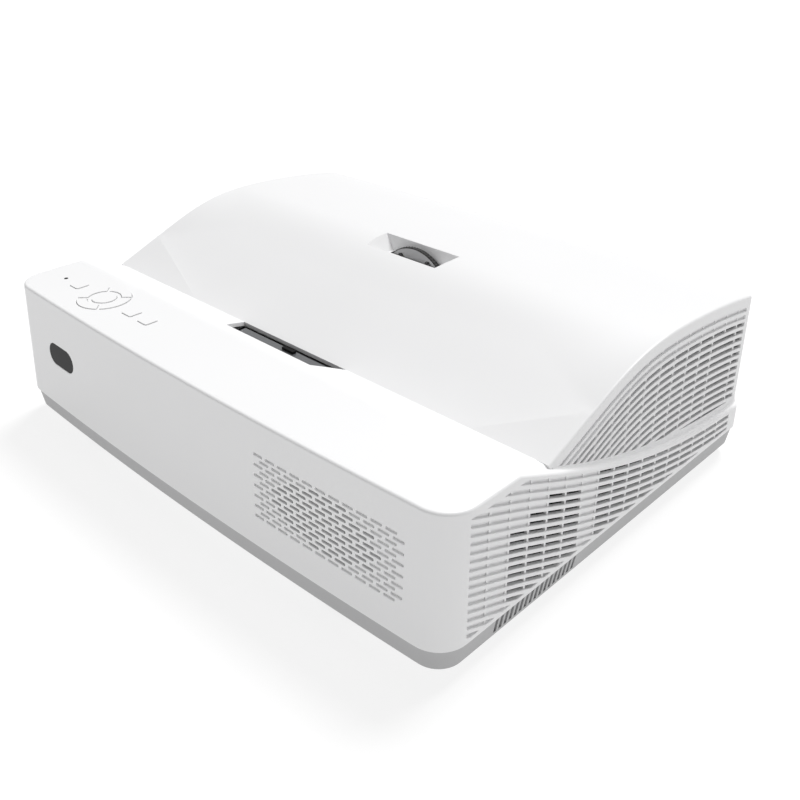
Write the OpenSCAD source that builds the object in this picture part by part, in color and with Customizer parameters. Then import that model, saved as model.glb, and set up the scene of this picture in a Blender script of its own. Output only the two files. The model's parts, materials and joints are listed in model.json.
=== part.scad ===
// Ultra-short-throw home projector, built as an assembly of separate pieces.
// Millimetres, +Z up, the front (keypad and loudspeaker side) faces -Y.
// The origin is on the resting plane, under the centre of the body.

/* [Body] */
// Overall width of the lower body
body_w = 383; // [376:1:390]
// Overall depth, from the front wall to the rear wall
body_d = 303; // [300:1:306]
// Height of the flat front ledge above the resting plane
ledge_z = 96; // [95:0.5:97]
// Rise of the hump above the ledge
hump_rise = 22.5; // [21.5:0.5:23]
// Height of the lower edge of the white shell
shell_z0 = 19.5; // [19:0.5:20]
// Height of the underside of the grey base
base_z0 = 6; // [5.5:0.5:6.5]
// Bow of the front wall, from its centre to its corners
front_bow = 5; // [4:0.5:6]
// How far the front wall leans forward from ledge to lower edge
front_lean = 3; // [2:0.5:3]
// Bow of the rear wall, from its centre to its corners
rear_bow = 7; // [5:0.5:8]
// Plan radius of the front corners
corner_r = 18; // [14:1:20]
// Plan radius of the rear corners
rear_corner_r = 10; // [9:1:12]
// Thickness of the moulded shells
wall = 2.5; // [2.2:0.1:2.8]

/* [Ledge and hump] */
// Depth of the flat part of the ledge
ledge_d = 54.4; // [52:0.2:56]
// Distance from the front wall to the valley between ledge and hump
valley_d = 82.4; // [81:0.2:84]
// Drop from the ledge to the valley
valley_drop = 10.1; // [9:0.1:11]
// Slope of the lower part of the hump, in degrees
hump_slope = 22; // [21:0.5:23]
// Inset of the hump's side walls from the lower side panels
hump_inset = 4; // [3.5:0.1:4.5]
// Width of the hollow above the projection window
window_w = 92; // [84:1:96]
// Width of the finger recess over the focus ring
recess_w = 62; // [58:1:66]
// Depth of the finger recess, front to back
recess_d = 22.5; // [21:0.5:24]

/* [Grilles] */
// Spacing of the louvre rows in the lower side panels
row_pitch = 4.78; // [4.6:0.01:5]
// Spacing of the louvre rows in the hump's sides
hump_row_pitch = 4.95; // [4.8:0.01:5.1]
// Height of one louvre slot
slot_h = 2.4; // [2:0.1:2.6]
// Spacing of the upright ribs that divide the louvres
rib_pitch = 15.2; // [14:0.1:16]
// Width of one upright rib
rib_w = 1.5; // [1.2:0.1:2]
// Number of full rows of loudspeaker slots
speaker_rows = 7; // [5:1:7]
// Slots in one row of the loudspeaker grille
speaker_cols = 11; // [8:1:11]

/* [Controls] */
// Side of a square key, across the ledge
key_w = 9.6; // [9:0.1:10]
// Outer radius of the four-way ring of keys
ring_r = 17; // [16:0.5:17.5]
// Radius of the round key inside the ring
enter_r = 7.6; // [7:0.1:8]
// Clearance round each key
key_gap = 0.35; // [0.3:0.05:0.4]
// Outer radius of the focus ring
focus_r = 29; // [28.5:0.1:29]

/* [Feet and fixings] */
// Half the spacing of the feet across the body
foot_x = 115; // [110:1:120]
// Radius of an adjustable foot
foot_r = 10; // [9:0.5:11]
// Spacing of the ceiling-mount inserts across the body
mount_dx = 220; // [200:5:220]
// Spacing of the ceiling-mount inserts front to back
mount_dy = 150; // [140:5:160]

/* [Hidden] */

white = [0.93, 0.93, 0.93];
shade = [0.62, 0.62, 0.63];
dark = [0.12, 0.12, 0.13];
steel = [0.7, 0.71, 0.73];
board_green = [0.08, 0.3, 0.16];

front_y = -body_d / 2 + front_lean;         // top edge of the front wall, at the centre
rear_y = body_d / 2;                        // rear wall at the centre
half_w = body_w / 2;
hump_half = half_w - hump_inset;
hump_corner_r = 5;                          // plan radius of the hump's rear corners
crease_y = front_y + ledge_d;
valley_y = front_y + valley_d;
valley_z = ledge_z - valley_drop;
hump_z = ledge_z + hump_rise;
skin = 2.2;                                 // thickness of the hump's side walls
eps = 0.02;
slab = 0.5;                                 // thickness of the outlines that drafted walls join

// ---- outlines -------------------------------------------------------------

// Points of a cubic curve through p[0] and p[3]
function bezier(p, n) = [for (i = [0:n]) let (t = i / n, s = 1 - t)
    s * s * s * p[0] + 3 * s * s * t * p[1] + 3 * s * t * t * p[2] + t * t * t * p[3]];

// One bowed end of the plan: y0 at the centre, falling back by bow at half_w
function bow_y(x, y0, bow) = y0 + bow * pow(x / half_w, 2);

// Corner arc that runs on from the bowed end, right-hand side, from end to side
function corner(hw, y0, bow, r, dir, n = 8) = let (
    slope = atan(2 * bow * (hw - r) / (half_w * half_w)),
    cx = hw - r,
    cy = bow_y(cx + r * sin(slope), y0, bow) + dir * r * cos(slope))
    [for (i = [0:n]) let (a = slope + (90 - slope) * i / n) [cx + r * sin(a), cy - dir * r * cos(a)]];

function mirror_pts(p) = [for (i = [len(p) - 1:-1:0]) [-p[i][0], p[i][1]]];

// Plan of the body, inset all round by g, with the front wall moved forward by lean
function plan_pts(g = 0, lean = 0, hw = half_w, rear_r = rear_corner_r) = let (
    yf = front_y - lean + g,
    yr = rear_y - g,
    nx = 10,
    cf = corner(hw - g, yf, front_bow, max(corner_r - g, 2), 1),
    cr = corner(hw - g, yr, -rear_bow, max(rear_r - g, 2), -1),
    xf = cf[0][0],
    xr = cr[0][0])
    concat(
        [for (i = [1:nx - 1]) let (x = xf * (2 * i / nx - 1)) [x, bow_y(x, yf, front_bow)]],
        cf,
        [for (i = [len(cr) - 1:-1:0]) cr[i]],
        [for (i = [1:nx - 1]) let (x = xr * (1 - 2 * i / nx)) [x, bow_y(x, yr, -rear_bow)]],
        [for (p = cr) [-p[0], p[1]]],
        mirror_pts(cf));

// Crown of the hump in a fore-and-aft section, dropped by t
toe = [valley_y, valley_z];
shoulder = toe + 44 * [1, tan(hump_slope)];
apex = [front_y + 195.5, hump_z];
tail = [rear_y - 4.3, hump_z - 10.3];
crown_front = bezier([shoulder, shoulder + 27 * [cos(hump_slope), sin(hump_slope)],
    apex - [26, 0], apex], 10);
crown_back = bezier([apex, apex + [30, 0], tail - 29 * [cos(12), -sin(12)], tail], 8);
function crown(t) = [for (p = concat([toe], crown_front,
    [for (q = crown_back) if (q != apex) q]))
    [p[0], p[1] - t]];

// Height of the crown at y
function crown_z(y, t = 0) = lookup(y, crown(t));

// Upper edge of a lower side panel
panel_tail = [rear_y + 1, 35.5];
panel_edge = bezier([[crease_y, ledge_z], [crease_y + 50, ledge_z - 21],
    [crease_y + 128, 37], panel_tail], 16);
function panel_z(y) = y < crease_y ? ledge_z + (crease_y - y) * 0.4 : lookup(y, panel_edge);

// Rounded-off back of the ledge, from the crease down to the valley
ledge_back = bezier([[crease_y, ledge_z], [crease_y + 10, ledge_z - 2.6],
    [valley_y - 9, valley_z + 3.4], toe], 6);

module plan(g = 0, lean = 0, hw = half_w, rear_r = rear_corner_r) {
    polygon(plan_pts(g, lean, hw, rear_r));
}

// Extrude a (y, z) outline along X, centred
module across(w) {
    rotate([90, 0, 90]) translate([0, 0, -w / 2]) linear_extrude(w) children();
}

// A (y, z) outline as a plate from x0 outwards to x0 + t
module plate(x0, t) {
    rotate([90, 0, 90]) translate([0, 0, x0]) linear_extrude(t) children();
}

// Both sides of the body
module both_sides() {
    children();
    mirror([1, 0, 0]) children();
}

// Solid of the white shell, inset all round by g: upright walls and a front that leans
module shell_block(g, z0, z1) {
    intersection() {
        translate([0, 0, z0]) linear_extrude(z1 - z0) plan(g, front_lean);
        translate([0, front_y - front_lean, shell_z0])
            rotate([-atan(front_lean / (ledge_z - shell_z0)), 0, 0])
            translate([0, 0, -30]) linear_extrude(200) polygon(concat(
                [for (i = [-6:6]) let (x = i * half_w / 5) [x, bow_y(x, g, front_bow)]],
                [[half_w + 60, body_d + 60], [-half_w - 60, body_d + 60]]));
    }
}

// Walls that draft from one plan to another
module drafted(z0, z1, g0, g1, lean0, lean1) {
    hull() {
        translate([0, 0, z0]) linear_extrude(slab) plan(g0, lean0);
        translate([0, 0, z1 - slab]) linear_extrude(slab) plan(g1, lean1);
    }
}

// ---- grilles --------------------------------------------------------------

rib_y0 = front_y + 18;                      // first upright rib
function rib_y(j) = rib_y0 + j * rib_pitch;

// One louvre slot between two ribs, its centre line at height z_at(y) - drop
module louvre(ya, yb, za, zb, h = slot_h) {
    polygon([[ya, za - h / 2], [yb, zb - h / 2], [yb, zb + h / 2], [ya, za + h / 2]]);
}

panel_rows = 19;
panel_cols = 17;
panel_front = front_y + 17;
panel_floor = shell_z0 + 3;

// Where the lower side panel is open: a block behind the front fan, then the rear
first_open_row = [99, 99, 6, 4, 2, 2, 99];
function panel_open(k, j) = j >= len(first_open_row) || k >= first_open_row[j];

module panel_slots() {
    intersection() {
        union() {
            for (k = [0:panel_rows - 1], j = [0:panel_cols - 1]) if (panel_open(k, j)) {
                ya = rib_y(j) + rib_w / 2;
                yb = rib_y(j + 1) - rib_w / 2;
                drop = 4.2 + row_pitch * k;
                louvre(ya, yb, panel_z(ya) - drop, panel_z(yb) - drop);
            }
        }
        translate([panel_front, panel_floor]) square([body_d - 42, ledge_z - 5 - panel_floor]);
    }
}

hump_rows = 14;
function hump_open(k) = k >= 2;

module hump_slots() {
    intersection() {
        union() {
            for (k = [0:hump_rows - 1], j = [4:17]) if (hump_open(k)) {
                ya = rib_y(j) + rib_w / 2;
                yb = rib_y(j + 1) - rib_w / 2;
                drop = 8.6 + hump_row_pitch * k;
                louvre(ya, yb, crown_z(ya) - drop, crown_z(yb) - drop);
            }
        }
        polygon(concat(
            [for (y = [valley_y + 8:8:rear_y - 18]) [y, panel_z(y) + 2.5]],
            [[rear_y - 17, panel_z(rear_y - 17) + 2.5], [rear_y - 17, hump_z], [valley_y + 8, hump_z]]));
    }
}

speaker_x = 115;
speaker_z = ledge_z - 38.3;
speaker_dx = 9.1;
speaker_dz = 3.1;
// Open slots lie inside an oval, the others are blind
function speaker_open(x, z) = pow(x / 36, 2) + pow(z / 16.5, 2) < 1;

module speaker_slots() {
    for (r = [0:2 * speaker_rows - 2], c = [0:speaker_cols - 1]) {
        x = (c - (speaker_cols - 1) / 2) * speaker_dx + (r % 2 == 0 ? -1 : 1) * speaker_dx / 4;
        z = (speaker_rows - 1 - r) * speaker_dz;
        if (speaker_open(x, z)) translate([x, z]) square([6.6, 1.5], center = true);
    }
}

// ---- shells ---------------------------------------------------------------

key_y = front_y + 29.6;                     // centre line of the keypad
power_x = -151.6;
enter_x = -121;
menu_x = -89.6;
source_x = -72.5;
key_d = 8.7;
light_x = -168.6;

// Plan of a rounded square key
module key_plan(w, d, r = 1.2) {
    translate([-w / 2 + r, -d / 2]) square([w - 2 * r, d]);
    translate([-w / 2, -d / 2 + r]) square([w, d - 2 * r]);
    for (sx = [-1, 1], sy = [-1, 1]) translate([sx * (w / 2 - r), sy * (d / 2 - r)])
        circle(r, $fn = 24);
}

ring_inner = 10.8;
// One quarter of the four-way ring, towards +X; gap widens the slits between quarters
module ring_key_plan(grow = 0) {
    slit = 1.1;
    intersection() {
        difference() {
            circle(ring_r + grow, $fn = 96);
            circle(ring_inner - grow, $fn = 96);
        }
        rotate(45) translate([slit - grow, -60]) square([60, 120]);
        rotate(-45) translate([slit - grow, -60]) square([60, 120]);
    }
}

module keypad_holes() {
    for (x = [power_x, menu_x, source_x]) translate([x, key_y])
        key_plan(key_w + 2 * key_gap, key_d + 2 * key_gap);
    translate([enter_x, key_y]) {
        circle(enter_r + key_gap, $fn = 64);
        for (a = [0, 90, 180, 270]) rotate(a) ring_key_plan(key_gap);
    }
    translate([light_x, key_y]) circle(1.3, $fn = 24);
}

ir_x = -134.6;
ir_z = ledge_z - 37.2;
ir_w = 31.3;
ir_h = 15;

module pill(w, h) {
    square([w - h, h], center = true);
    for (s = [-1, 1]) translate([s * (w - h) / 2, 0]) circle(h / 2, $fn = 48);
}

// Extrude a (x, z) outline along Y, from y0 backwards
module through_front(y0, depth) {
    translate([0, y0 + depth, 0]) rotate([90, 0, 0]) linear_extrude(depth) children();
}

// Hollow in the valley above the window: narrower at the front, wide at the valley
window_y0 = front_y + 63.2;
module window_plan(g = 0) {
    polygon([[-window_w / 2 + 9.5 - g, window_y0 - g], [window_w / 2 - 9.5 + g, window_y0 - g],
        [window_w / 2 + g, valley_y + 0.5], [-window_w / 2 - g, valley_y + 0.5]]);
}

module main_cover() {
    color(white) {
        difference() {
            intersection() {
                shell_block(0, shell_z0, ledge_z);
                across(body_w + 10) polygon(concat(
                    [[front_y - 20, 0], [front_y - 20, ledge_z]], ledge_back,
                    [for (y = [valley_y + 0.2:8:rear_y - 4]) [y, panel_z(y)]],
                    [[rear_y + 20, panel_z(rear_y - 4)], [rear_y + 20, 0]]));
            }
            intersection() {
                shell_block(wall, shell_z0 - 1, ledge_z + 40);
                across(body_w + 10) polygon(concat(
                    [[front_y - 20, 0], [front_y - 20, ledge_z - wall]],
                    [for (p = ledge_back) p - [0, wall]],
                    [[valley_y, ledge_z + 40], [rear_y + 20, ledge_z + 40], [rear_y + 20, 0]]));
            }
            both_sides() translate([0, front_y + 17, shell_z0 + 3]) translate([half_w - wall - 1, 0, 0])
                cube([wall + 2, body_d - 42, 200]);
            translate([0, 0, ledge_z - 12]) linear_extrude(20) keypad_holes();
            translate([0, 0, valley_z - 8]) linear_extrude(30) window_plan();
            through_front(front_y - 10, 24) translate([ir_x, ir_z]) pill(ir_w, ir_h);
            through_front(front_y - 10, 24) translate([speaker_x, speaker_z]) speaker_slots();
        }
        both_sides() plate(half_w - wall, wall) difference() {
            side_panel_plan();
            panel_slots();
        }
        both_sides() plate(hump_half, hump_inset - wall) panel_band(4.5);
    }
}

// Lower side panel, filling the shell's side opening
module side_panel_plan() {
    intersection() {
        polygon(concat([[front_y + 16, shell_z0 + 2], [front_y + 16, ledge_z], [crease_y, ledge_z]],
            [for (y = [valley_y + 0.2:8:rear_y - 4]) [y, panel_z(y)]],
            [[rear_y, panel_tail[1]], [rear_y, shell_z0 + 2]]));
        translate([front_y + 16, shell_z0 + 2]) square([body_d - 40, 100]);
    }
}

// Band of height h along a side panel's upper edge, behind the valley
module panel_band(h) {
    ys = [for (y = [valley_y + 0.2:8:rear_y - 20]) y];
    polygon(concat([for (y = ys) [y, panel_z(y)]],
        [for (i = [len(ys) - 1:-1:0]) [ys[i], panel_z(ys[i]) - h]]));
}

recess_y = front_y + 186.2;
recess_depth = 9;
focus_y = front_y + 190;
focus_t = 4;
axis_z = ledge_z - 7.6;

// Boat-shaped finger recess; g grows it on every side
module recess_solid(g = 0) {
    hull() {
        translate([0, recess_y, hump_z + 3]) linear_extrude(eps)
            square([recess_w + 6 + 2 * g, recess_d + 4 + 2 * g], center = true);
        translate([0, recess_y + 1, hump_z - recess_depth - g]) linear_extrude(eps)
            square([46 + 2 * g, 14 + 2 * g], center = true);
    }
}

module hump_cover() {
    color(white) {
        difference() {
            union() {
                intersection() {
                    translate([0, 0, shell_z0]) linear_extrude(120) plan(0, 0, hump_half, hump_corner_r);
                    across(2 * hump_half) polygon(concat(
                        crown(0), [[rear_y + 1, tail[1] - 0.9], [rear_y + 1, tail[1] - 0.9 - wall]],
                        [for (i = [len(crown(wall)) - 1:-1:0]) crown(wall)[i]]));
                }
                intersection() {
                    recess_solid(1.6);
                    across(90) polygon(concat(crown(0.4), [[rear_y, 20], [valley_y, 20]]));
                }
            }
            recess_solid();
            translate([0, focus_y + focus_t / 2, axis_z]) rotate([90, 0, 0])
                cylinder(h = focus_t + 2, r = focus_r + 0.7, center = true, $fn = 96);
        }
        both_sides() plate(hump_half - skin, skin) difference() {
            polygon(concat([for (p = crown(0.2)) if (p[0] < rear_y - 12) p],
                [[rear_y - 12, crown_z(rear_y - 12, 0.2)]],
                [for (y = [rear_y - 12:-8:valley_y]) [y, panel_z(y) - 4]]));
            hump_slots();
        }
    }
}

// Rear wall between the hump's sides, with an opening over the sockets
io_x0 = -24;
io_x1 = 154;
io_z0 = 36.5;
io_z1 = 62;
module rear_cover() {
    color(white) difference() {
        intersection() {
            translate([0, 0, shell_z0]) linear_extrude(120) difference() {
                plan(0, 0, hump_half, hump_corner_r);
                plan(wall, 0, hump_half, hump_corner_r);
            }
            across(body_w) polygon([[rear_y - 11.8, panel_z(rear_y - 11.8) + 0.2],
                [rear_y - 4, panel_z(rear_y - 4) + 0.2], [rear_y + 1, panel_z(rear_y - 4) + 0.2],
                [rear_y + 1, tail[1] - 3.6], [rear_y - 11.8, tail[1] - 1.6]]);
        }
        translate([io_x0, rear_y - 20, io_z0]) cube([io_x1 - io_x0, 40, io_z1 - io_z0]);
        for (i = [0:11], k = [0:4])
            translate([-160 + 10.5 * i, rear_y - 20, 44 + 9 * k]) cube([8, 40, 4]);
    }
}

// ---- base -----------------------------------------------------------------

mount_r = 2.1;
base_top = shell_z0 - 0.05;
base_inset_top = 1.2;                       // set back of the base under the shell's edge
base_inset_low = 3.5;                       // set back of the base's lower edge
stem_r = 4;                                 // screwed stem of an adjustable foot
stem_fit = 0.05;

module mount_places() {
    for (sx = [-1, 1], sy = [-1, 1]) translate([sx * mount_dx / 2, sy * mount_dy / 2]) children();
}
foot_y = front_y + 19;
rear_foot_y = rear_y - 30;
screw_places = [[-150, -90], [150, -90], [-165, 20], [165, 20], [-150, 110], [60, 110]];

module base_pan() {
    color(shade) difference() {
        union() {
            difference() {
                drafted(base_z0, base_top, base_inset_low, base_inset_top, front_lean, front_lean);
                drafted(base_z0 + wall, base_top + 1, base_inset_low + wall, base_inset_top + wall,
                    front_lean, front_lean);
            }
            mount_places() translate([0, 0, base_z0]) cylinder(h = 9, r = 6, $fn = 32);
            for (s = [-1, 1]) translate([s * foot_x, foot_y, base_z0])
                cylinder(h = 14, r = 8, $fn = 40);
        }
        mount_places() translate([0, 0, base_z0 - 1]) cylinder(h = 11, r = mount_r, $fn = 32);
        for (s = [-1, 1]) translate([s * foot_x, foot_y, base_z0 - 1])
            cylinder(h = 16, r = stem_r + stem_fit, $fn = 40);
        for (p = screw_places) translate([p[0], p[1], base_z0 - 1])
            cylinder(h = 5, r = 1.75, $fn = 24);
        both_sides() for (i = [0:16])
            translate([half_w - 9, front_y + 43 + 4.1 * i, base_z0 + 3.2]) cube([12, 2.2, 6.5]);
    }
}

module foot_screw(s) {
    color(steel) translate([s * foot_x, foot_y, 0]) {
        translate([0, 0, base_z0 - 2.3]) cylinder(h = 26, r = stem_r, $fn = 40);
        translate([0, 0, 1.5]) cylinder(h = base_z0 - 2, r = foot_r - 0.6, $fn = 48);
    }
}

module foot_pad(s) {
    color(dark) translate([s * foot_x, foot_y, 0]) cylinder(h = 1.5, r = foot_r, $fn = 48);
}

module left_foot_screw() { foot_screw(-1); }
module left_foot_pad() { foot_pad(-1); }
module right_foot_screw() { foot_screw(1); }
module right_foot_pad() { foot_pad(1); }

module rear_feet() {
    color(dark) for (s = [-1, 1]) translate([s * foot_x, rear_foot_y, 0])
        cylinder(h = base_z0, r = foot_r, $fn = 48);
}

module case_screws() {
    color(steel) for (p = screw_places) translate([p[0], p[1], 0]) {
        translate([0, 0, base_z0 - 1.6]) cylinder(h = 1.6, r = 3, $fn = 32);
        translate([0, 0, base_z0 - 0.5]) cylinder(h = 12, r = 1.5, $fn = 24);
    }
}

// ---- window and indicators -------------------------------------------------

glass_z = valley_z - 4;
module projection_window() {
    color([0.35, 0.36, 0.38]) translate([0, valley_y - 13, glass_z])
        linear_extrude(2) square([window_w - 8, 21], center = true);
}

module window_frame() {
    color(dark) translate([0, valley_y - 13, glass_z - 2.2]) linear_extrude(2.15) difference() {
        square([window_w + 2, 27], center = true);
        square([window_w - 14, 16], center = true);
    }
}

module proximity_sensor() {
    color(dark) translate([-3, valley_y - 6, glass_z + 2.05]) cube([10, 2.6, 1.6]);
}

module ir_window() {
    color(dark) intersection() {
        through_front(front_y - 10, 24) translate([ir_x, ir_z]) pill(ir_w - 0.2, ir_h - 0.2);
        difference() {
            shell_block(0.1, shell_z0, ledge_z);
            shell_block(2.1, shell_z0 - 1, ledge_z + 1);
        }
    }
}

module status_light_pipe() {
    color([0.2, 0.22, 0.25]) translate([light_x, key_y, ledge_z - 6.4]) {
        cylinder(h = 6.4, r = 1.25, $fn = 24);
        cylinder(h = 1, r = 2.4, $fn = 24);
    }
}

// ---- keys -----------------------------------------------------------------

key_top = ledge_z + 0.5;
key_h = 5.2;

// A key cap with the flange that keeps it in the ledge
module key(x, y) {
    color(white) translate([x, y, 0]) {
        translate([0, 0, key_top - key_h]) linear_extrude(key_h) key_plan(key_w, key_d);
        translate([0, 0, key_top - key_h]) linear_extrude(0.9) key_plan(key_w + 2.4, key_d + 2.4);
    }
}

module ring_key(a) {
    color(white) translate([enter_x, key_y, key_top - key_h]) rotate(a)
        linear_extrude(key_h) ring_key_plan();
}

module power_button() { key(power_x, key_y); }
module menu_button() { key(menu_x, key_y); }
module source_button() { key(source_x, key_y); }
module right_button() { ring_key(0); }
module up_button() { ring_key(90); }
module left_button() { ring_key(180); }
module down_button() { ring_key(270); }
module enter_button() {
    color(white) translate([enter_x, key_y, key_top - key_h]) cylinder(h = key_h, r = enter_r, $fn = 64);
}

board_t = 1.6;
keypad_z = ledge_z - 10;
module keypad_board() {
    color(board_green) translate([-176, key_y - 20, keypad_z]) cube([114, 40, board_t]);
    color(dark) for (p = [[power_x, 0], [menu_x, 0], [source_x, 0], [enter_x, 0], [enter_x + 14, 0],
            [enter_x - 14, 0], [enter_x, 14], [enter_x, -14]])
        translate([p[0] - 2, key_y + p[1] - 2, keypad_z + board_t]) cube([4, 4, 2.3]);
}

// ---- optics ---------------------------------------------------------------

bearing_r = 17;
group_r = 14.95;                            // running fit in the barrel's 15 mm bore
barrel_y0 = front_y + 126;
barrel_y1 = front_y + 226;

// A ring or tube on the optical axis, from y0 to y1
module on_axis(y0, y1, r, bore = 0) {
    translate([0, y1, axis_z]) rotate([90, 0, 0]) difference() {
        cylinder(h = y1 - y0, r = r, $fn = 96);
        if (bore > 0) translate([0, 0, -1]) cylinder(h = y1 - y0 + 2, r = bore, $fn = 96);
    }
}

module lens_barrel() {
    color(dark) {
        on_axis(barrel_y0, focus_y - 22, 12, 9);
        difference() {
            on_axis(focus_y - 24, barrel_y1, bearing_r, 12.5);
            on_axis(focus_y + 14, barrel_y1 + 1, 15);
        }
        on_axis(barrel_y1 - 4, barrel_y1, 24, 15);
    }
}

// Focus ring: a fine-toothed rim on a hub that turns on the barrel
module focus_ring() {
    teeth = 72;
    color([0.6, 0.6, 0.61]) {
        difference() {
            on_axis(focus_y, focus_y + focus_t, focus_r - 0.6, bearing_r + 0.05);
            for (i = [0:5]) translate([0, focus_y - 1, axis_z]) rotate([0, 60 * i, 0])
                translate([24, 0, 0]) rotate([-90, 0, 0]) cylinder(h = focus_t + 2, r = 2.6, $fn = 24);
        }
        on_axis(focus_y - 3, focus_y + focus_t + 4, bearing_r + 2, bearing_r + 0.05);
        translate([0, focus_y + focus_t - 0.6, axis_z]) rotate([90, 0, 0]) linear_extrude(focus_t - 1.2)
            difference() {
                polygon([for (i = [0:2 * teeth - 1]) let (a = 180 * i / teeth)
                    (i % 2 == 0 ? focus_r : focus_r - 0.5) * [cos(a), sin(a)]]);
                circle(focus_r - 3, $fn = 96);
            }
    }
}

// Focusing group: a cell of lenses that slides inside the barrel as the ring turns
module lens_rear_group() {
    color(steel) on_axis(focus_y + 22, focus_y + 30, group_r, 12);
    color([0.7, 0.8, 0.85]) on_axis(focus_y + 23, focus_y + 29, 12);
}

module front_lens() {
    color([0.7, 0.8, 0.85]) intersection() {
        on_axis(barrel_y0 + 1, barrel_y0 + 8, 8.95);
        translate([0, barrel_y0 + 21, axis_z]) sphere(r = 20, $fn = 64);
    }
}

mirror_y = front_y + 12;
module curved_mirror() {
    color([0.8, 0.82, 0.85]) intersection() {
        difference() {
            translate([0, mirror_y + 130, 58]) sphere(r = 131, $fn = 96);
            translate([0, mirror_y + 130, 58]) sphere(r = 126, $fn = 96);
        }
        translate([-52, mirror_y - 10, 34]) cube([104, 40, 44]);
    }
}

module mirror_bracket() {
    color(dark) {
        for (s = [-1, 1]) translate([s * 58 - 4, mirror_y - 4, base_z0 + wall]) cube([8, 56, 74]);
        translate([-62, mirror_y - 4, base_z0 + wall]) cube([124, 62, 3]);
        translate([-62, mirror_y - 4, base_z0 + wall]) cube([124, 4, 24]);
        for (s = [-1, 1]) translate([s * 54.5 - 2.5, mirror_y - 1, 52]) cube([5, 10, 12]);
    }
}

engine_y0 = barrel_y1 + 0.05;
module light_engine() {
    color(steel) difference() {
        translate([-42, engine_y0, 44]) cube([100, 42, 66]);
        translate([-39, engine_y0 + 3, 47]) cube([94, 36, 60]);
        translate([0, engine_y0 + 5, axis_z]) rotate([90, 0, 0]) cylinder(h = 10, r = 16, $fn = 64);
        translate([-50, engine_y0 + 20, 66]) rotate([0, 90, 0]) cylinder(h = 12, r = 12, $fn = 64);
    }
}

module mirror_chip_board() {
    color(board_green) translate([-35, engine_y0 + 42.2, 54]) cube([78, board_t, 52]);
}

module chip_heatsink() {
    color(steel) {
        translate([-24, engine_y0 + 44, 62]) cube([48, 3, 36]);
        for (i = [0:8]) translate([-24 + 5.75 * i, engine_y0 + 47 - eps, 62]) cube([2, 8, 36]);
    }
}

module laser_module() {
    color(steel) translate([-102, 8, 36]) cube([44, 60, 50]);
    color(dark) for (k = [0:1], j = [0:3]) translate([-58, 18 + 14 * j, 50 + 20 * k])
        rotate([0, 90, 0]) cylinder(h = 3, r = 4, $fn = 24);
}

module laser_heatsink() {
    color(steel) {
        translate([-107, 0, 24]) cube([4.9, 76, 74]);
        for (i = [0:15]) translate([-148, 0, 24 + 4.8 * i]) cube([41 + eps, 76, 1.6]);
    }
}

wheel_x = -50;
wheel_y = engine_y0 + 20;
wheel_z = 66;
module phosphor_wheel() {
    color([0.85, 0.8, 0.3]) translate([wheel_x, wheel_y, wheel_z]) rotate([0, 90, 0]) {
        cylinder(h = 1.5, r = 26, $fn = 96);
        translate([0, 0, -3]) cylinder(h = 3.02, r = 8, $fn = 48);
        translate([0, 0, -12]) cylinder(h = 10, r = 1.5, $fn = 32);
    }
}

module wheel_motor() {
    color(dark) translate([wheel_x - 19, wheel_y, wheel_z]) rotate([0, 90, 0]) difference() {
        cylinder(h = 15, r = 12, $fn = 64);
        translate([0, 0, 6]) cylinder(h = 12, r = 1.55, $fn = 32);
    }
    color(steel) translate([wheel_x - 20, wheel_y - 14, base_z0 + wall])
        cube([3, 28, wheel_z - base_z0 - wall - 11.9]);
}

// ---- fans -----------------------------------------------------------------

fan_t = 15;
hub_r = 11;

// Square fan frame, its axis along X, its outer face at x1
module fan_frame(x1, y, z, size) {
    color(dark) translate([x1 - fan_t, y, z]) rotate([90, 0, 90]) {
        difference() {
            linear_extrude(fan_t) square(size, center = true);
            translate([0, 0, -1]) cylinder(h = fan_t + 2, r = size / 2 - 2.5, $fn = 96);
            for (sx = [-1, 1], sy = [-1, 1]) translate([sx * (size / 2 - 4.5), sy * (size / 2 - 4.5), -1])
                cylinder(h = fan_t + 2, r = 2, $fn = 24);
        }
        difference() {
            union() {
                cylinder(h = 2, r = hub_r, $fn = 48);
                for (a = [45:90:315]) rotate(a) translate([0, -1.5, 0]) cube([size / 2 - 1, 3, 2]);
                cylinder(h = 6, r = 4, $fn = 32);
            }
            translate([0, 0, -1]) cylinder(h = 8, r = 1.55, $fn = 32);
        }
    }
}

// Rotor with pitched blades; it turns on a pin in the frame's boss
module fan_rotor(x1, y, z, size) {
    blade_r = size / 2 - 4;
    color([0.2, 0.2, 0.21]) translate([x1 - fan_t, y, z]) rotate([90, 0, 90]) {
        difference() {
            translate([0, 0, 2.5]) cylinder(h = fan_t - 4, r = hub_r, $fn = 64);
            translate([0, 0, 2]) cylinder(h = fan_t - 6, r = hub_r - 1.5, $fn = 64);
        }
        translate([0, 0, 1]) cylinder(h = fan_t - 3, r = 1.5, $fn = 32);
        for (a = [0:40:320]) rotate(a) translate([hub_r - 0.6, 0, fan_t / 2 + 0.5]) rotate([38, 0, 0])
            translate([0, -0.6, -5.2]) cube([blade_r - hub_r, 1.2, 10.4]);
    }
}

front_fan = [half_w - wall - 4.5, rib_y(4) + 1, 52, 60];
side_fan = [hump_half - skin - 1, rib_y(10), 59, 80];
exhaust_fan = [-hump_half + skin + 1 + fan_t, rib_y(11), 66, 80];

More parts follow.
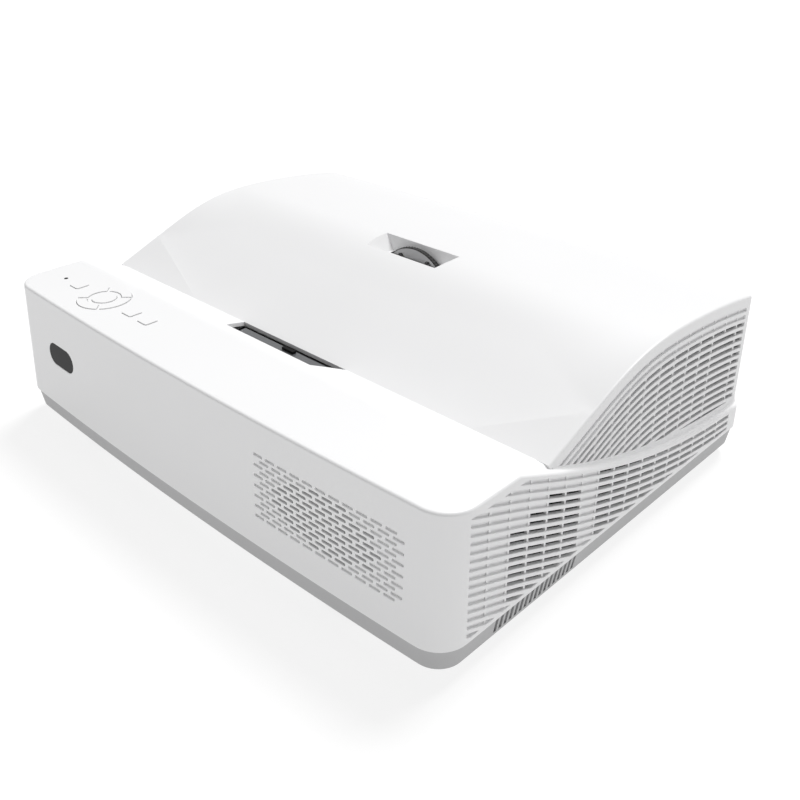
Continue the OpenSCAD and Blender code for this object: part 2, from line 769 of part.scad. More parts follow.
module front_fan_frame() { fan_frame(front_fan[0], front_fan[1], front_fan[2], front_fan[3]); }
module front_fan_rotor() { fan_rotor(front_fan[0], front_fan[1], front_fan[2], front_fan[3]); }
module side_fan_frame() { fan_frame(side_fan[0], side_fan[1], side_fan[2], side_fan[3]); }
module side_fan_rotor() { fan_rotor(side_fan[0], side_fan[1], side_fan[2], side_fan[3]); }
module exhaust_fan_frame() { fan_frame(exhaust_fan[0], exhaust_fan[1], exhaust_fan[2], exhaust_fan[3]); }
module exhaust_fan_rotor() { fan_rotor(exhaust_fan[0], exhaust_fan[1], exhaust_fan[2], exhaust_fan[3]); }

// Filter cassette behind the front block of louvres
module dust_filter() {
    color([0.1, 0.1, 0.1]) plate(half_w - wall - 4, 3.4) difference() {
        translate([front_fan[1] - 32, 22]) square([64, 44.5]);
        for (i = [0:6], k = [0:4]) translate([front_fan[1] - 29.5 + 8.5 * i, 24.5 + 8.6 * k])
            square([7, 6.6]);
    }
}

// ---- electronics ----------------------------------------------------------

main_y1 = rear_y - 14;
main_z = 37;
module main_board() {
    color(board_green) translate([-46, main_y1 - 76, main_z]) cube([166, 76, board_t]);
    color(dark) for (p = [[20, -60, 26, 3], [60, -56, 16, 2], [92, -62, 20, 3], [-24, -58, 14, 2]])
        translate([p[0], main_y1 + p[1], main_z + board_t]) cube([p[2], p[2], p[3]]);
    color(steel) for (x = [-42, 98], y = [-72, -10]) translate([x, main_y1 + y, base_z0 + wall])
        cube([5, 5, main_z - base_z0 - wall]);
}

module power_supply() {
    color([0.5, 0.4, 0.2]) translate([78, -112, 22]) cube([70, 122, board_t]);
    color(dark) {
        translate([84, -70, 22 + board_t]) cube([30, 34, 26]);
        translate([120, -20, 22 + board_t]) cube([22, 24, 22]);
        for (i = [0:2]) translate([128, -100 + 22 * i, 22 + board_t]) cylinder(h = 30, r = 9, $fn = 40);
    }
    color(steel) {
        translate([86, -20, 22 + board_t]) cube([3, 26, 30]);
        for (x = [80, 142], y = [-110, 4]) translate([x, y, base_z0 + wall])
            cube([4, 4, 22 - base_z0 - wall]);
    }
}

module laser_driver_board() {
    color(board_green) translate([-168, -112, 22]) cube([90, 84, board_t]);
    color(dark) {
        for (i = [0:3]) translate([-160 + 20 * i, -100, 22 + board_t]) cylinder(h = 14, r = 6, $fn = 32);
        translate([-150, -70, 22 + board_t]) cube([26, 26, 10]);
        translate([-112, -66, 22 + board_t]) cube([18, 18, 8]);
    }
    color(steel) for (x = [-166, -84], y = [-110, -34]) translate([x, y, base_z0 + wall])
        cube([4, 4, 22 - base_z0 - wall]);
}

// ---- loudspeaker -----------------------------------------------------------

speaker_y = front_y + 7;
// Round solid on the loudspeaker's axis, from y0 backwards
module speaker_round(y0, h, r) {
    translate([speaker_x, y0, speaker_z]) rotate([-90, 0, 0]) cylinder(h = h, r = r, $fn = 64);
}

module speaker_frame() {
    color(dark) difference() {
        union() {
            translate([speaker_x - 40, speaker_y, speaker_z - 21]) cube([80, 2.5, 42]);
            speaker_round(speaker_y, 12, 19);
        }
        speaker_round(speaker_y - 1, 11, 17);
        speaker_round(speaker_y, 13, 11);
    }
}

module speaker_cone() {
    color([0.15, 0.15, 0.16]) translate([speaker_x, speaker_y + 1, speaker_z]) rotate([-90, 0, 0])
        rotate_extrude($fn = 64)
            polygon([[0, 6], [5, 6.6], [16.8, 0], [16.8, 1], [5.4, 8.4], [0, 7.6]]);
}

module speaker_magnet() {
    color(steel) speaker_round(speaker_y + 12.05, 10, 16);
}

// ---- sockets --------------------------------------------------------------

io_y = rear_y - 12;
io_t = 2;

// Rectangular socket body open to the rear, centred at x, bottom at z
module socket(x, z, w, h, depth, lip = 0.8) {
    translate([x - w / 2, io_y - depth, z]) difference() {
        cube([w, depth, h]);
        translate([lip, 3, lip]) cube([w - 2 * lip, depth, h - 2 * lip]);
    }
}

sock_z = main_z + board_t + 0.05;
hdmi_x = [-10, 12];
usb_x = 32;
net_x = 53;
display_x = 81;
audio_x = [104, 114];
inlet_x = 136;
inlet_z = io_z0 + 2.5;

module io_panel() {
    color([0.22, 0.22, 0.23]) difference() {
        translate([io_x0 - 3, io_y + 0.1, io_z0 - 2]) cube([io_x1 - io_x0 + 6, io_t, io_z1 - io_z0 + 4]);
        for (x = hdmi_x) translate([x - 7.7, io_y - 1, sock_z - 0.1]) cube([15.4, 5, 6.4]);
        translate([usb_x - 7.2, io_y - 1, sock_z - 0.1]) cube([14.4, 5, 7.4]);
        translate([net_x - 8.2, io_y - 1, sock_z - 0.1]) cube([16.4, 5, 13.8]);
        translate([display_x - 15.7, io_y - 1, sock_z + 0.4]) cube([31.4, 5, 11.4]);
        for (x = audio_x) translate([x, io_y + 4, sock_z + 5]) rotate([90, 0, 0])
            cylinder(h = 6, r = 3.4, $fn = 32);
        translate([inlet_x - 14.2, io_y - 1, inlet_z - 0.2]) cube([28.4, 5, 20.4]);
    }
}

module hdmi_sockets() {
    color(steel) for (x = hdmi_x) socket(x, sock_z, 15, 6, 12);
}
module usb_socket() {
    color(steel) socket(usb_x, sock_z, 14, 7, 14);
}
module network_socket() {
    color(steel) socket(net_x, sock_z, 16, 13.5, 18);
}
module display_socket() {
    color([0.1, 0.2, 0.5]) socket(display_x, sock_z + 0.5, 31, 11, 10, 2);
}
module audio_sockets() {
    color(dark) for (x = audio_x) translate([x, io_y, sock_z + 5]) rotate([90, 0, 0]) difference() {
        cylinder(h = 12, r = 3.2, $fn = 32);
        translate([0, 0, -1]) cylinder(h = 11, r = 1.8, $fn = 32);
    }
}

// Three-pin mains inlet
module power_inlet() {
    color(dark) {
        socket(inlet_x, inlet_z, 28, 20, 18, 2);
        for (p = [[-7, 0], [0, 4], [7, 0]])
            translate([inlet_x + p[0] - 1, io_y - 15.5, inlet_z + 6 + p[1]]) cube([2, 12, 4]);
    }
}

// ---- assembly -------------------------------------------------------------

base_pan();
main_cover();
hump_cover();
rear_cover();
io_panel();
projection_window();
window_frame();
proximity_sensor();
ir_window();
status_light_pipe();
power_button();
up_button();
down_button();
left_button();
right_button();
enter_button();
menu_button();
source_button();
keypad_board();
focus_ring();
lens_barrel();
lens_rear_group();
front_lens();
curved_mirror();
mirror_bracket();
light_engine();
mirror_chip_board();
chip_heatsink();
laser_module();
laser_heatsink();
phosphor_wheel();
wheel_motor();
front_fan_frame();
front_fan_rotor();
side_fan_frame();
side_fan_rotor();
exhaust_fan_frame();
exhaust_fan_rotor();
dust_filter();
main_board();
power_supply();
laser_driver_board();
speaker_frame();
speaker_cone();
speaker_magnet();
power_inlet();
hdmi_sockets();
usb_socket();
network_socket();
display_socket();
audio_sockets();
left_foot_screw();
left_foot_pad();
right_foot_screw();
right_foot_pad();
rear_feet();
case_screws();
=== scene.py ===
import json
import math

import bpy
import bmesh
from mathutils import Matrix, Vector, geometry


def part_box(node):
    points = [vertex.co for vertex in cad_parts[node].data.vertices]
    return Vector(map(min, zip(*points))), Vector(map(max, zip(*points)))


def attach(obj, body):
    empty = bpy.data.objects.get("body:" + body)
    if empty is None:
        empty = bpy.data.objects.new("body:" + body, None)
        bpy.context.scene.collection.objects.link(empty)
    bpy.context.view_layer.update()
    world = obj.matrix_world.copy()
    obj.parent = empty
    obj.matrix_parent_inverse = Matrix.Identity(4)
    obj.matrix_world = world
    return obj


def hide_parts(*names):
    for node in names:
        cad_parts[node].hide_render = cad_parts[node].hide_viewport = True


# Ultra-short-throw home projector. Lengths below are millimetres in the part's own frame,
# front towards -Y, and MM turns them into Blender's metres.

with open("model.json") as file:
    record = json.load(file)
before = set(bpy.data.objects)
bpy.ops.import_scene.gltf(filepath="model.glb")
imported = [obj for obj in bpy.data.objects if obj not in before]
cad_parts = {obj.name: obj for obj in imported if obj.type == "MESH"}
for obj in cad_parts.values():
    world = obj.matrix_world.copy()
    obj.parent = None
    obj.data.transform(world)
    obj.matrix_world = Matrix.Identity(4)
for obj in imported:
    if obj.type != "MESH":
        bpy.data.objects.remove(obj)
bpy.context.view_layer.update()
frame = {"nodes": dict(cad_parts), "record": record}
MM = 0.001
scene = bpy.context.scene


def node_box(name):
    """Lowest and highest corner of a CAD node, in millimetres."""
    lo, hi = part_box(name)
    return [v / MM for v in lo], [v / MM for v in hi]


# ---- driving dimensions ----------------------------------------------------

cover_lo, cover_hi = node_box("main_cover")
hump_lo, hump_hi = node_box("hump_cover")
HALF_W = cover_hi[0]                     # half the width of the lower body
REAR_Y = 151.5                           # rear wall, at its centre
FRONT_LEAN = 3.0                         # lean of the front wall, ledge to lower edge
FRONT_Y = -151.5 + FRONT_LEAN            # top edge of the front wall, at its centre
LEDGE_Z = cover_hi[2]                    # flat ledge
SHELL_Z0 = cover_lo[2]                   # lower edge of the white shell
HUMP_Z = hump_hi[2]                      # top of the hump
HUMP_HALF = hump_hi[0]                   # half the width of the hump
FRONT_BOW = 5.0
REAR_BOW = 7.0
FRONT_R = 18.0
REAR_R = 10.0
HUMP_R = 5.0
WALL = 2.5
SKIN = 2.2
CREASE_Y = FRONT_Y + 54.4                # rear edge of the flat ledge
VALLEY_Y = FRONT_Y + 82.4                # valley between ledge and hump
VALLEY_Z = LEDGE_Z - 10.1
SLOPE = 22.0                             # lower slope of the hump, degrees
RIM_R = 1.7                              # fillet along the body's upper edges
HUMP_FILLET = 1.5                        # fillet along the hump's upper edges
SLOT_H = 2.4
RIB_PITCH = 15.2
RIB_W = 1.5
ROW_PITCH = 4.78
HUMP_ROW_PITCH = 4.95
RIB_SET_BACK = 0.9                       # ribs between louvres stand this far behind the blades
FLARE = 0.25                             # broken edge round every slot
RING_AXIS_Z = LEDGE_Z - 7.6              # axis of the focus ring
RING_BODY_R = 28.3                       # radius inside the focus ring's toothed edge


# ---- curves ----------------------------------------------------------------

def bezier(p, n):
    """Points of a cubic curve through p[0] and p[3]."""
    pts = []
    for i in range(n + 1):
        t = i / n
        s = 1 - t
        w = (s * s * s, 3 * s * s * t, 3 * s * t * t, t * t * t)
        pts.append(tuple(sum(w[k] * p[k][c] for k in range(4)) for c in (0, 1)))
    return pts


def lookup(y, pts):
    """Height of a (y, z) line at y, held level past its ends."""
    if y <= pts[0][0]:
        return pts[0][1]
    for a, b in zip(pts, pts[1:]):
        if y <= b[0]:
            return a[1] + (b[1] - a[1]) * (y - a[0]) / (b[0] - a[0])
    return pts[-1][1]


def smooth_step(t):
    t = min(1.0, max(0.0, t))
    return t * t * (3 - 2 * t)


def mix(a, b, t):
    return a + (b - a) * t


TAN = math.tan(math.radians(SLOPE))
COS = math.cos(math.radians(SLOPE))
SIN = math.sin(math.radians(SLOPE))
toe = (VALLEY_Y, VALLEY_Z)
shoulder = (VALLEY_Y + 44, VALLEY_Z + 44 * TAN)
apex = (FRONT_Y + 195.5, HUMP_Z)
tail = (REAR_Y - 4.3, HUMP_Z - 10.3)
tail_run = (tail[0] - 29 * math.cos(math.radians(12)), tail[1] + 29 * math.sin(math.radians(12)))
end_section = (
    [toe]
    + bezier([shoulder, (shoulder[0] + 27 * COS, shoulder[1] + 27 * SIN), (apex[0] - 26, apex[1]), apex], 40)
    + bezier([apex, (apex[0] + 30, apex[1]), tail_run, tail], 28)[1:]
    + [(REAR_Y + 2, tail[1] - 1.4)]
)
# The fan of light leaves through a shallow scoop, so the middle of the slope stays flatter
scoop_rise = math.tan(math.radians(18.5))
scoop_end = (FRONT_Y + 142, VALLEY_Z + (FRONT_Y + 142 - VALLEY_Y) * scoop_rise)
scoop_section = [toe] + bezier([scoop_end, (scoop_end[0] + 16, scoop_end[1] + 16 * scoop_rise),
                                (apex[0] - 20, apex[1]), apex], 40)


def crown_end(y):
    return lookup(y, end_section)


def crown_mid(y):
    return lookup(y, scoop_section) if y < apex[0] else crown_end(y)


def ease(limit, inward, rate):
    """Leaves zero at a fold at the given rate and settles at the limit further in."""
    if abs(limit) < 0.01 or inward <= 0:
        return 0.0
    return limit * (1 - math.exp(-rate * inward / abs(limit)))


panel_edge = bezier([(CREASE_Y, LEDGE_Z), (CREASE_Y + 50, LEDGE_Z - 21), (CREASE_Y + 128, 37),
                     (REAR_Y + 1, 35.5)], 48)


def panel_z(y):
    """Upper edge of a lower side panel, carried on up over the ledge."""
    return LEDGE_Z + (CREASE_Y - y) * 0.4 if y < CREASE_Y else lookup(y, panel_edge)


def body_top(y):
    return min(LEDGE_Z, panel_z(y))


ledge_back = bezier([(CREASE_Y, LEDGE_Z), (CREASE_Y + 10, LEDGE_Z - 2.6),
                     (VALLEY_Y - 9, VALLEY_Z + 3.4), toe], 24)


class Facet:
    """A flat triangle at one end of a slope, on the outer side of the line a-b, which runs to the
    rear and outwards. soft is half the width of the band of mesh points along that line."""

    def __init__(self, a, b, soft):
        self.a, self.b, self.soft = a, b, soft
        dx, dy = b[0] - a[0], b[1] - a[1]
        self.length = math.hypot(dx, dy)
        side = 1 if a[0] > 0 else -1
        self.normal = (side * abs(dy) / self.length, -abs(dx) / self.length)

    def signed(self, x, y):
        return (x - self.a[0]) * self.normal[0] + (y - self.a[1]) * self.normal[1]

    def guide_points(self, step=4.0):
        n = max(2, int(self.length / step))
        for k in (-1.0, -0.5, 0.0, 0.5, 1.0):
            for i in range(1, n):
                t = i / n
                yield (mix(self.a[0], self.b[0], t) + k * self.soft * self.normal[0],
                       mix(self.a[1], self.b[1], t) + k * self.soft * self.normal[1])


FOLD_RATE = 0.15                         # how steeply a surface leaves its fold lines
hump_facets = [Facet((137, VALLEY_Y), (HUMP_HALF, FRONT_Y + 119), 0.6),
               Facet((-97, VALLEY_Y), (-HUMP_HALF, FRONT_Y + 115), 0.6)]
ledge_facets = [Facet((122, CREASE_Y), (HUMP_HALF, VALLEY_Y), 0.6),
                Facet((-122, CREASE_Y), (-HUMP_HALF, VALLEY_Y), 0.6)]


def hump_top(x, y):
    inward = min([HUMP_HALF - abs(x)] + [-f.signed(x, y) for f in hump_facets])
    return crown_end(y) + ease(crown_mid(y) - crown_end(y), inward, FOLD_RATE)


def ledge_top(x, y):
    if y <= CREASE_Y:
        return LEDGE_Z
    if y > VALLEY_Y + 0.3:
        edge = smooth_step((abs(x) - (HUMP_HALF - 3)) / 2)
        return mix(VALLEY_Z - 3, panel_z(y), edge) if y < VALLEY_Y + 30 else panel_z(y)
    inward = min(-f.signed(x, y) for f in ledge_facets)
    straight = mix(LEDGE_Z, VALLEY_Z, (y - CREASE_Y) / (VALLEY_Y - CREASE_Y))
    return straight + ease(lookup(y, ledge_back) - straight, inward, FOLD_RATE)


# ---- outlines --------------------------------------------------------------

def bow_y(x, y0, bow):
    return y0 + bow * (x / HALF_W) ** 2


def corner(hw, y0, bow, r, direction, n=10):
    """Corner arc that runs on from a bowed end to a side, right-hand side."""
    slope = math.atan(2 * bow * (hw - r) / (HALF_W * HALF_W))
    cx = hw - r
    cy = bow_y(cx + r * math.sin(slope), y0, bow) + direction * r * math.cos(slope)
    turns = [slope + (math.pi / 2 - slope) * i / n for i in range(n + 1)]
    return [(cx + r * math.sin(a), cy - direction * r * math.cos(a)) for a in turns]


def between(a, b, n):
    """Points strictly between two points."""
    return [(mix(a[0], b[0], i / n), mix(a[1], b[1], i / n)) for i in range(1, n)]


def half_outline(g, lean, hw, front_r, rear_r, side_n=90, end_n=22):
    """Right half of the plan, from the front centre round to the rear centre, inset by g."""
    yf = FRONT_Y - lean + g
    yr = REAR_Y - g
    front = corner(hw - g, yf, FRONT_BOW, max(front_r - g, 1.0), 1)
    rear = corner(hw - g, yr, -REAR_BOW, max(rear_r - g, 1.0), -1)
    rear.reverse()
    xf, xr = front[0][0], rear[-1][0]
    pts = [(xf * i / end_n, bow_y(xf * i / end_n, yf, FRONT_BOW)) for i in range(end_n)]
    pts += front + between(front[-1], rear[0], side_n) + rear
    pts += [(xr * i / end_n, bow_y(xr * i / end_n, yr, -REAR_BOW)) for i in range(end_n - 1, -1, -1)]
    return pts


def full_outline(g, lean=0.0, hw=HALF_W, front_r=FRONT_R, rear_r=REAR_R):
    right = half_outline(g, lean, hw, front_r, rear_r)
    return right + [(-x, y) for x, y in reversed(right[1:-1])]


def hump_outline(g, valley_n=60):
    """Plan of the hump: open U round the sides and rear, closed along the valley."""
    right = [p for p in half_outline(g, 0, HUMP_HALF, FRONT_R, HUMP_R, 110) if p[1] > VALLEY_Y + 0.8]
    start = (HUMP_HALF - g, VALLEY_Y)
    right = [start] + right
    left = [(-x, y) for x, y in reversed(right[:-1])]
    return right + left + between(left[-1], start, valley_n)


# ---- mesh making -----------------------------------------------------------

def new_object(name, verts, faces):
    mesh = bpy.data.meshes.new(name)
    mesh.from_pydata([(x * MM, y * MM, z * MM) for x, y, z in verts], [], faces)
    obj = bpy.data.objects.new(name, mesh)
    scene.collection.objects.link(obj)
    return obj


def close_up(obj):
    """Welds doubles and turns every face outwards."""
    bm = bmesh.new()
    bm.from_mesh(obj.data)
    bmesh.ops.remove_doubles(bm, verts=bm.verts, dist=1e-6)
    bmesh.ops.recalc_face_normals(bm, faces=bm.faces)
    bm.to_mesh(obj.data)
    bm.free()
    return obj


def sheet_faces(loop, inner, height, first):
    """Triangles that fill a plan loop. Returns the added vertices and the faces."""
    coords = [Vector(p[:2]) for p in loop] + [Vector(p) for p in inner]
    n = len(loop)
    out = geometry.delaunay_2d_cdt(coords, [], [list(range(n))], 1, 1e-5)
    verts2d, _, tris, origin = out[0], out[1], out[2], out[3]
    index, added = [], []
    for v, source in zip(verts2d, origin):
        if source and source[0] < n:
            index.append(first + source[0] - n)
        else:
            index.append(first + len(added))
            added.append((v.x, v.y, height(v.x, v.y)))
    return added, [[index[i] for i in t] for t in tris]


def column(name, rings, inner_top=(), height=None, bottom=None):
    """Closed solid through rings of equal count. height gives the inside of the top cap."""
    verts, faces = [], []
    n = len(rings[0])
    for ring in rings:
        verts += ring
    for k in range(len(rings) - 1):
        for i in range(n):
            j = (i + 1) % n
            faces.append([k * n + i, k * n + j, (k + 1) * n + j, (k + 1) * n + i])
    if height is None:
        faces.append([(len(rings) - 1) * n + i for i in range(n)])
    else:
        added, tris = sheet_faces(rings[-1], list(inner_top), height, len(verts))
        verts += added
        faces += tris
    if bottom is None:
        faces.append(list(range(n)))
    else:
        added, tris = sheet_faces(rings[0], [], bottom, n)
        shift = len(verts) - n
        faces += [[i if i < n else i + shift for i in t] for t in tris]
        verts += added
    return close_up(new_object(name, verts, faces))


def join_raw(name, parts):
    """One mesh from many (verts, faces) lists."""
    verts, faces = [], []
    for v, f in parts:
        base = len(verts)
        verts += v
        faces += [[i + base for i in face] for face in f]
    return close_up(new_object(name, verts, faces))


def stack(loops):
    """(verts, faces) of a closed solid through convex loops of equal count."""
    n = len(loops[0])
    verts = [p for loop in loops for p in loop]
    faces = [list(range(n)), [(len(loops) - 1) * n + i for i in range(n)]]
    for k in range(len(loops) - 1):
        for i in range(n):
            j = (i + 1) % n
            faces.append([k * n + i, k * n + j, (k + 1) * n + j, (k + 1) * n + i])
    return verts, faces


def circle_loop(x0, y0, r, z, n):
    turns = (2 * math.pi * i / n for i in range(n))
    return [(x0 + r * math.cos(a), y0 + r * math.sin(a), z) for a in turns]


def bake(obj):
    """Applies the modifiers of obj to its mesh."""
    graph = bpy.context.evaluated_depsgraph_get()
    graph.update()
    mesh = bpy.data.meshes.new_from_object(obj.evaluated_get(graph))
    obj.modifiers.clear()
    old = obj.data
    obj.data = mesh
    bpy.data.meshes.remove(old)
    return obj


def boolean(obj, other, operation="DIFFERENCE"):
    m = obj.modifiers.new("boolean", "BOOLEAN")
    m.operation = operation
    m.object = other
    m.solver = "MANIFOLD"
    bake(obj)
    bpy.data.objects.remove(other)
    return obj


def drop_strays(obj, least=12):
    """Deletes the flat slivers that cutting leaves behind: islands of only a few faces."""
    bm = bmesh.new()
    bm.from_mesh(obj.data)
    bmesh.ops.remove_doubles(bm, verts=bm.verts, dist=0.00002 * MM)
    bmesh.ops.triangulate(bm, faces=bm.faces)
    seen, strays = set(), []
    for start in bm.faces:
        if start in seen:
            continue
        seen.add(start)
        island = [start]
        for face in island:
            for edge in face.edges:
                for other in edge.link_faces:
                    if other not in seen:
                        seen.add(other)
                        island.append(other)
        if len(island) < least:
            strays += island
    bmesh.ops.delete(bm, geom=strays, context="FACES")
    bm.to_mesh(obj.data)
    bm.free()


def smooth(obj, angle=32):
    """Clears stray slivers, then shades smoothly, with hard edges past the angle."""
    drop_strays(obj)
    for p in obj.data.polygons:
        p.use_smooth = True
    obj.data.set_sharp_from_angle(angle=math.radians(angle))
    m = obj.modifiers.new("weighted", "WEIGHTED_NORMAL")
    m.keep_sharp = True
    m.weight = 80
    return obj


def finish_piece(obj, body, mat, slot, *nodes):
    """Material and body of a new piece, and hides the CAD nodes that it stands in for. slot is not used."""
    obj.data.materials.clear()
    obj.data.materials.append(mat)
    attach(obj, body)
    if nodes:
        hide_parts(*nodes)
    return obj


# ---- materials -------------------------------------------------------------

def material(name, colour, rough, metal=0.0, grain=900.0, vary=0.03, bump=0.04, depth=0.00003,
             stretch=(1, 1, 1), spec=0.5, coat=0.0, rough_vary=0.05):
    """Moulded or worked surface: fine grain in the height, slow variation in colour and gloss."""
    mat = bpy.data.materials.new(name)
    mat.use_nodes = True
    nodes, links = mat.node_tree.nodes, mat.node_tree.links
    shader = nodes["Principled BSDF"]
    shader.inputs["Metallic"].default_value = metal
    shader.inputs["Specular IOR Level"].default_value = spec
    shader.inputs["Coat Weight"].default_value = coat
    place = nodes.new("ShaderNodeTexCoord")
    scale = nodes.new("ShaderNodeMapping")
    scale.inputs["Scale"].default_value = stretch
    links.new(place.outputs["Object"], scale.inputs["Vector"])
    fine = nodes.new("ShaderNodeTexNoise")
    fine.inputs["Scale"].default_value = grain
    fine.inputs["Detail"].default_value = 3.0
    links.new(scale.outputs["Vector"], fine.inputs["Vector"])
    slow = nodes.new("ShaderNodeTexNoise")
    slow.inputs["Scale"].default_value = 14.0
    slow.inputs["Detail"].default_value = 2.0
    links.new(scale.outputs["Vector"], slow.inputs["Vector"])
    ramp = nodes.new("ShaderNodeValToRGB")
    low = [c * (1 - vary) for c in colour]
    high = [min(1.0, c * (1 + vary * 0.5)) for c in colour]
    ramp.color_ramp.elements[0].position = 0.3
    ramp.color_ramp.elements[1].position = 0.7
    ramp.color_ramp.elements[0].color = (*low, 1)
    ramp.color_ramp.elements[1].color = (*high, 1)
    links.new(slow.outputs["Fac"], ramp.inputs["Fac"])
    links.new(ramp.outputs["Color"], shader.inputs["Base Color"])
    gloss = nodes.new("ShaderNodeMapRange")
    gloss.inputs["To Min"].default_value = max(0.02, rough - rough_vary)
    gloss.inputs["To Max"].default_value = min(1.0, rough + rough_vary)
    links.new(fine.outputs["Fac"], gloss.inputs["Value"])
    links.new(gloss.outputs["Result"], shader.inputs["Roughness"])
    relief = nodes.new("ShaderNodeBump")
    relief.inputs["Strength"].default_value = bump
    relief.inputs["Distance"].default_value = depth
    links.new(fine.outputs["Fac"], relief.inputs["Height"])
    links.new(relief.outputs["Normal"], shader.inputs["Normal"])
    return mat


def woven(name, colour, pitch):
    """Fabric or mesh: crossed threads from two wave patterns."""
    mat = material(name, colour, 0.85, grain=600, vary=0.1, bump=0.2)
    nodes, links = mat.node_tree.nodes, mat.node_tree.links
    place = nodes["Texture Coordinate"]
    relief = nodes["Bump"]
    total = nodes.new("ShaderNodeMath")
    total.operation = "MAXIMUM"
    for k, direction in enumerate(("Y", "Z")):
        wave = nodes.new("ShaderNodeTexWave")
        wave.bands_direction = direction
        wave.inputs["Scale"].default_value = 1 / (20 * pitch)
        links.new(place.outputs["Object"], wave.inputs["Vector"])
        links.new(wave.outputs["Fac"], total.inputs[k])
    links.new(total.outputs["Value"], relief.inputs["Height"])
    return mat


def glass(name, colour, rough, alpha):
    mat = material(name, colour, rough, grain=300, vary=0.02, bump=0.01, coat=1.0, rough_vary=0.01)
    shader = mat.node_tree.nodes["Principled BSDF"]
    shader.inputs["Transmission Weight"].default_value = alpha
    shader.inputs["IOR"].default_value = 1.49
    return mat


MATERIALS = {
    "white_shell": material("white_shell", (0.86, 0.86, 0.865), 0.42, vary=0.006, bump=0.05),
    "white_key": material("white_key", (0.87, 0.87, 0.875), 0.36, vary=0.006, grain=1400, bump=0.03),
    "grey_base": material("grey_base", (0.45, 0.45, 0.455), 0.55, vary=0.02, bump=0.12),
    "dark_plastic": material("dark_plastic", (0.03, 0.03, 0.032), 0.5, vary=0.1, bump=0.08),
    "black_gloss": material("black_gloss", (0.012, 0.012, 0.013), 0.32, vary=0.1, bump=0.01, spec=0.07,
                            rough_vary=0.03),
    "port_plate": material("port_plate", (0.06, 0.06, 0.065), 0.55, vary=0.06, bump=0.12),
    "focus_grey": material("focus_grey", (0.36, 0.36, 0.365), 0.45, vary=0.03, bump=0.08),
    "steel": material("steel", (0.6, 0.61, 0.63), 0.32, metal=1.0, grain=350, stretch=(1, 14, 1), vary=0.05,
                      bump=0.06, rough_vary=0.1),
    "aluminium": material("aluminium", (0.7, 0.71, 0.73), 0.4, metal=1.0, grain=300, stretch=(12, 1, 1),
                          vary=0.04, bump=0.05, rough_vary=0.08),
    "mirror": material("mirror", (0.85, 0.87, 0.9), 0.04, metal=1.0, vary=0.01, bump=0.005, rough_vary=0.01),
    "board": material("board", (0.02, 0.13, 0.06), 0.4, grain=240, vary=0.25, bump=0.1, coat=0.3),
    "phosphor": material("phosphor", (0.75, 0.66, 0.12), 0.6, grain=1800, vary=0.08, bump=0.1),
    "rubber": material("rubber", (0.02, 0.02, 0.02), 0.75, vary=0.15, bump=0.2),
    "rubber_grey": material("rubber_grey", (0.2, 0.2, 0.205), 0.7, vary=0.08, bump=0.2),
    "socket_blue": material("socket_blue", (0.02, 0.05, 0.3), 0.4, vary=0.06, bump=0.06),
    "paper_cone": woven("paper_cone", (0.03, 0.03, 0.032), 0.0008),
    "filter_mesh": woven("filter_mesh", (0.02, 0.02, 0.02), 0.001),
    "lens_glass": glass("lens_glass", (0.75, 0.82, 0.86), 0.03, 0.85),
    "window_glass": glass("window_glass", (0.16, 0.165, 0.175), 0.06, 0.25),
}


def dark_rim(obj, centre_z, radius):
    """Gives the faces of the focus ring's toothed edge, outside the given radius, a second, dark material.
    """
    obj.data.materials.append(MATERIALS["rubber"])
    for p in obj.data.polygons:
        if math.hypot(p.center.x / MM, p.center.z / MM - centre_z) > radius:
            p.material_index = 1


def dress_cad_nodes():
    """Every carried-over CAD node gets its slot's material and softened edges."""
    for part in frame["record"]["subparts"]:
        obj = frame["nodes"][part["node"]]
        obj.data.materials.clear()
        obj.data.materials.append(MATERIALS[part["material_slot"]])
        m = obj.modifiers.new("edges", "BEVEL")
        m.width = 0.25 * MM
        m.segments = 2
        m.limit_method = "ANGLE"
        m.angle_limit = math.radians(40)
        m.harden_normals = True
    dark_rim(frame["nodes"]["focus_ring"], RING_AXIS_Z, RING_BODY_R)


# ---- camera, light and floor -----------------------------------------------

def make_camera():
    cam = bpy.data.objects.new("camera", bpy.data.cameras.new("camera"))
    scene.collection.objects.link(cam)
    scene.camera = cam
    cam.data.lens = 43.97
    cam.data.sensor_width = 36.0
    cam.data.shift_x = 0.0125
    cam.data.shift_y = -0.10
    cam.location = (0.4054, -0.4038, 0.3497)
    yaw, pitch = math.radians(-43.84), math.radians(25.26)
    look = Vector((math.sin(yaw) * math.cos(pitch), math.cos(yaw) * math.cos(pitch), -math.sin(pitch)))
    cam.rotation_mode = "QUATERNION"
    cam.rotation_quaternion = look.to_track_quat("-Z", "Y")
    cam.data.clip_start = 0.01
    return cam


def soft_sun(name, towards, power, spread):
    """Distant softbox that lies in the given direction. spread is its size in the sky, in degrees."""
    light = bpy.data.lights.new(name, "SUN")
    light.energy = power
    light.angle = math.radians(spread)
    obj = bpy.data.objects.new(name, light)
    scene.collection.objects.link(obj)
    obj.rotation_mode = "QUATERNION"
    obj.rotation_quaternion = (-Vector(towards)).to_track_quat("-Z", "Y")
    return obj


def make_stage():
    world = bpy.data.worlds.new("studio")
    world.use_nodes = True
    world.node_tree.nodes["Background"].inputs["Color"].default_value = (1, 1, 1, 1)
    world.node_tree.nodes["Background"].inputs["Strength"].default_value = 0.4
    scene.world = world
    scene.view_settings.view_transform = "Standard"
    soft_sun("overhead", (-0.08, 0.52, 0.85), 2.85, 26)
    bpy.ops.mesh.primitive_plane_add(size=60)
    floor = bpy.context.active_object
    floor.name = "floor"
    mat = material("floor_paper", (0.25, 0.25, 0.25), 0.8, vary=0.004, bump=0.01)
    glow = mat.node_tree.nodes["Principled BSDF"]
    glow.inputs["Emission Color"].default_value = (1, 1, 1, 1)
    glow.inputs["Emission Strength"].default_value = 0.78
    floor.data.materials.append(mat)


